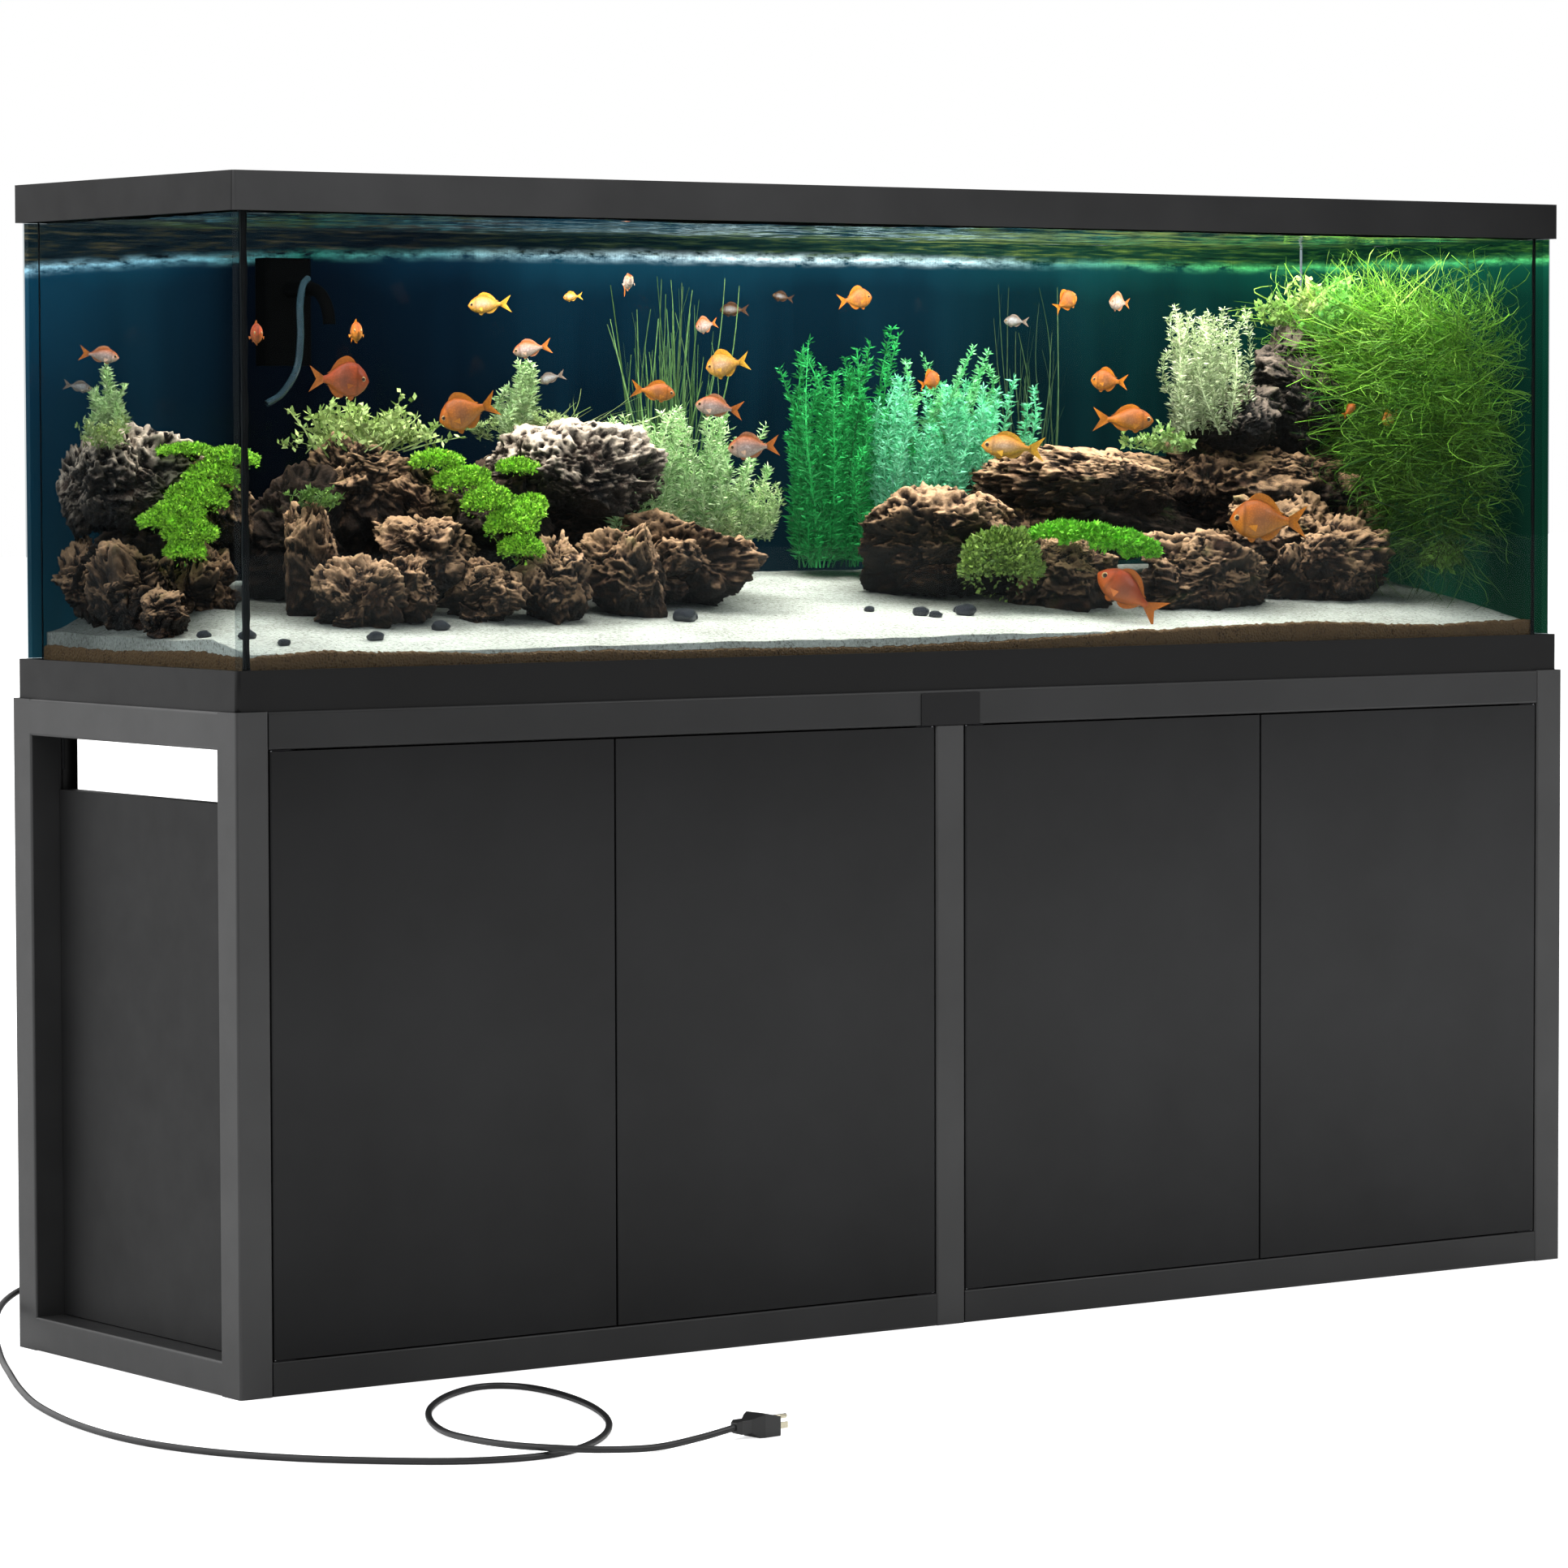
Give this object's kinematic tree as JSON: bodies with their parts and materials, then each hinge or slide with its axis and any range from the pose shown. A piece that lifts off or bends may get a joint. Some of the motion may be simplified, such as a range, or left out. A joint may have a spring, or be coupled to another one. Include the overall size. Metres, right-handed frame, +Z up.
{
  "type": "aquarium on stand",
  "caption": "Long rectangular glass aquarium with dark rims and hinged lids on a square-tube cabinet stand with flush doors, a power strip and a mains cord.",
  "frame": {"origin": "on the floor under the middle of the stand", "axes": "+X along the length, +Z up, the doors face -Y"},
  "size_m": [2.0815, 1.0611, 1.2755],
  "materials": {
    "frame_black": "satin powder coat",
    "bracket_black": "satin",
    "screw_steel": "zinc plated",
    "panel_black": "matte black laminate on board",
    "badge_grey": "satin",
    "door_black": "satin black laminate on board",
    "fitting_steel": "satin",
    "latch_grey": "matte",
    "strip_black": "fine texture",
    "outlet_grey": "fine texture",
    "bezel_black": "gloss",
    "rocker_red": "translucent gloss",
    "cord_black": "satin",
    "pin_brass": "nickel plated",
    "rim_black": "satin",
    "glass_clear": "polished",
    "lid_black": "smoked",
    "light_grey": "anodised",
    "film_blue": "printed film",
    "sand_white": "sand over soil",
    "rock_grey": "weathered stone",
    "filter_black": "satin",
    "plant_green": "leafy"
  },
  "bodies": {
    "tank_and_stand": {"end_frame_left": "frame_black", "end_frame_right": "frame_black", "front_top_rail": "frame_black", "rear_top_rail": "frame_black", "front_bottom_rails": "frame_black", "rear_bottom_rails": "frame_black", "centre_post_front": "frame_black", "centre_post_rear": "frame_black", "cross_braces": "frame_black", "corner_brackets": "bracket_black", "bracket_screws": "screw_steel", "side_panel_left": "panel_black", "side_panel_right": "panel_black", "panel_cleats": "frame_black", "back_panels": "panel_black", "floor_panels": "panel_black", "badge_plate": "badge_grey", "hinge_leaves": "fitting_steel", "hinge_pins": "fitting_steel", "latch_housings": "latch_grey", "strip_housing": "strip_black", "strip_outlets": "outlet_grey", "rocker_bezel": "bezel_black", "strip_brackets": "bracket_black", "strip_lead": "cord_black", "cord_gland": "cord_black", "power_cord": "cord_black", "plug_body": "cord_black", "plug_pins": "pin_brass", "tank_base_rim": "rim_black", "glass_front": "glass_clear", "glass_back": "glass_clear", "glass_left": "glass_clear", "glass_right": "glass_clear", "glass_bottom": "glass_clear", "tank_top_rim": "rim_black", "lid_rods": "fitting_steel", "light_bar": "light_grey", "background_film": "film_blue", "soil_bed": "sand_white", "rocks_left": "rock_grey", "rocks_right": "rock_grey", "filter_unit": "filter_black", "plants_back": "plant_green", "plants_front": "plant_green"},
    "door_1_leaf": {"door_1": "door_black", "door_fittings_1": "fitting_steel"},
    "plunger_1": {"latch_plunger_1": "latch_grey"},
    "door_2_leaf": {"door_2": "door_black", "door_fittings_2": "fitting_steel"},
    "plunger_2": {"latch_plunger_2": "latch_grey"},
    "door_3_leaf": {"door_3": "door_black", "door_fittings_3": "fitting_steel"},
    "plunger_3": {"latch_plunger_3": "latch_grey"},
    "door_4_leaf": {"door_4": "door_black", "door_fittings_4": "fitting_steel"},
    "plunger_4": {"latch_plunger_4": "latch_grey"},
    "lid_left_leaf": {"lid_left": "lid_black"},
    "lid_right_leaf": {"lid_right": "lid_black"},
    "rocker": {"rocker_switch": "rocker_red"}
  },
  "joints": [
    {"name": "door_1_hinge", "type": "hinge", "parent": "tank_and_stand", "child": "door_1_leaf", "pos_m": [-0.8821, -0.237, 0.35], "axis": [0, 0, -1], "range_deg": [0, 90]},
    {"name": "latch_1_push", "type": "slide", "parent": "tank_and_stand", "child": "plunger_1", "axis": [0, 1, 0], "range_m": [0, 0.004], "stiffness_N_per_m": 400, "springref_m": -0.002},
    {"name": "door_2_hinge", "type": "hinge", "parent": "tank_and_stand", "child": "door_2_leaf", "pos_m": [-0.0239, -0.237, 0.35], "axis": [0, 0, 1], "range_deg": [0, 90]},
    {"name": "latch_2_push", "type": "slide", "parent": "tank_and_stand", "child": "plunger_2", "axis": [0, 1, 0], "range_m": [0, 0.004], "stiffness_N_per_m": 400, "springref_m": -0.002},
    {"name": "door_3_hinge", "type": "hinge", "parent": "tank_and_stand", "child": "door_3_leaf", "pos_m": [0.0239, -0.237, 0.35], "axis": [0, 0, -1], "range_deg": [0, 90]},
    {"name": "latch_3_push", "type": "slide", "parent": "tank_and_stand", "child": "plunger_3", "axis": [0, 1, 0], "range_m": [0, 0.004], "stiffness_N_per_m": 400, "springref_m": -0.002},
    {"name": "door_4_hinge", "type": "hinge", "parent": "tank_and_stand", "child": "door_4_leaf", "pos_m": [0.8821, -0.237, 0.35], "axis": [0, 0, 1], "range_deg": [0, 90]},
    {"name": "latch_4_push", "type": "slide", "parent": "tank_and_stand", "child": "plunger_4", "axis": [0, 1, 0], "range_m": [0, 0.004], "stiffness_N_per_m": 400, "springref_m": -0.002},
    {"name": "lid_left_hinge", "type": "hinge", "parent": "tank_and_stand", "child": "lid_left_leaf", "pos_m": [-0.45, 0.19, 1.2708], "axis": [-1, 0, 0], "range_deg": [0, 100]},
    {"name": "lid_right_hinge", "type": "hinge", "parent": "tank_and_stand", "child": "lid_right_leaf", "pos_m": [0.45, 0.19, 1.2708], "axis": [-1, 0, 0], "range_deg": [0, 100]},
    {"name": "rocker_tilt", "type": "hinge", "parent": "tank_and_stand", "child": "rocker", "pos_m": [-0.2772, 0.166, 0.69], "axis": [1, 0, 0], "range_deg": [0, 16]}
  ]
}
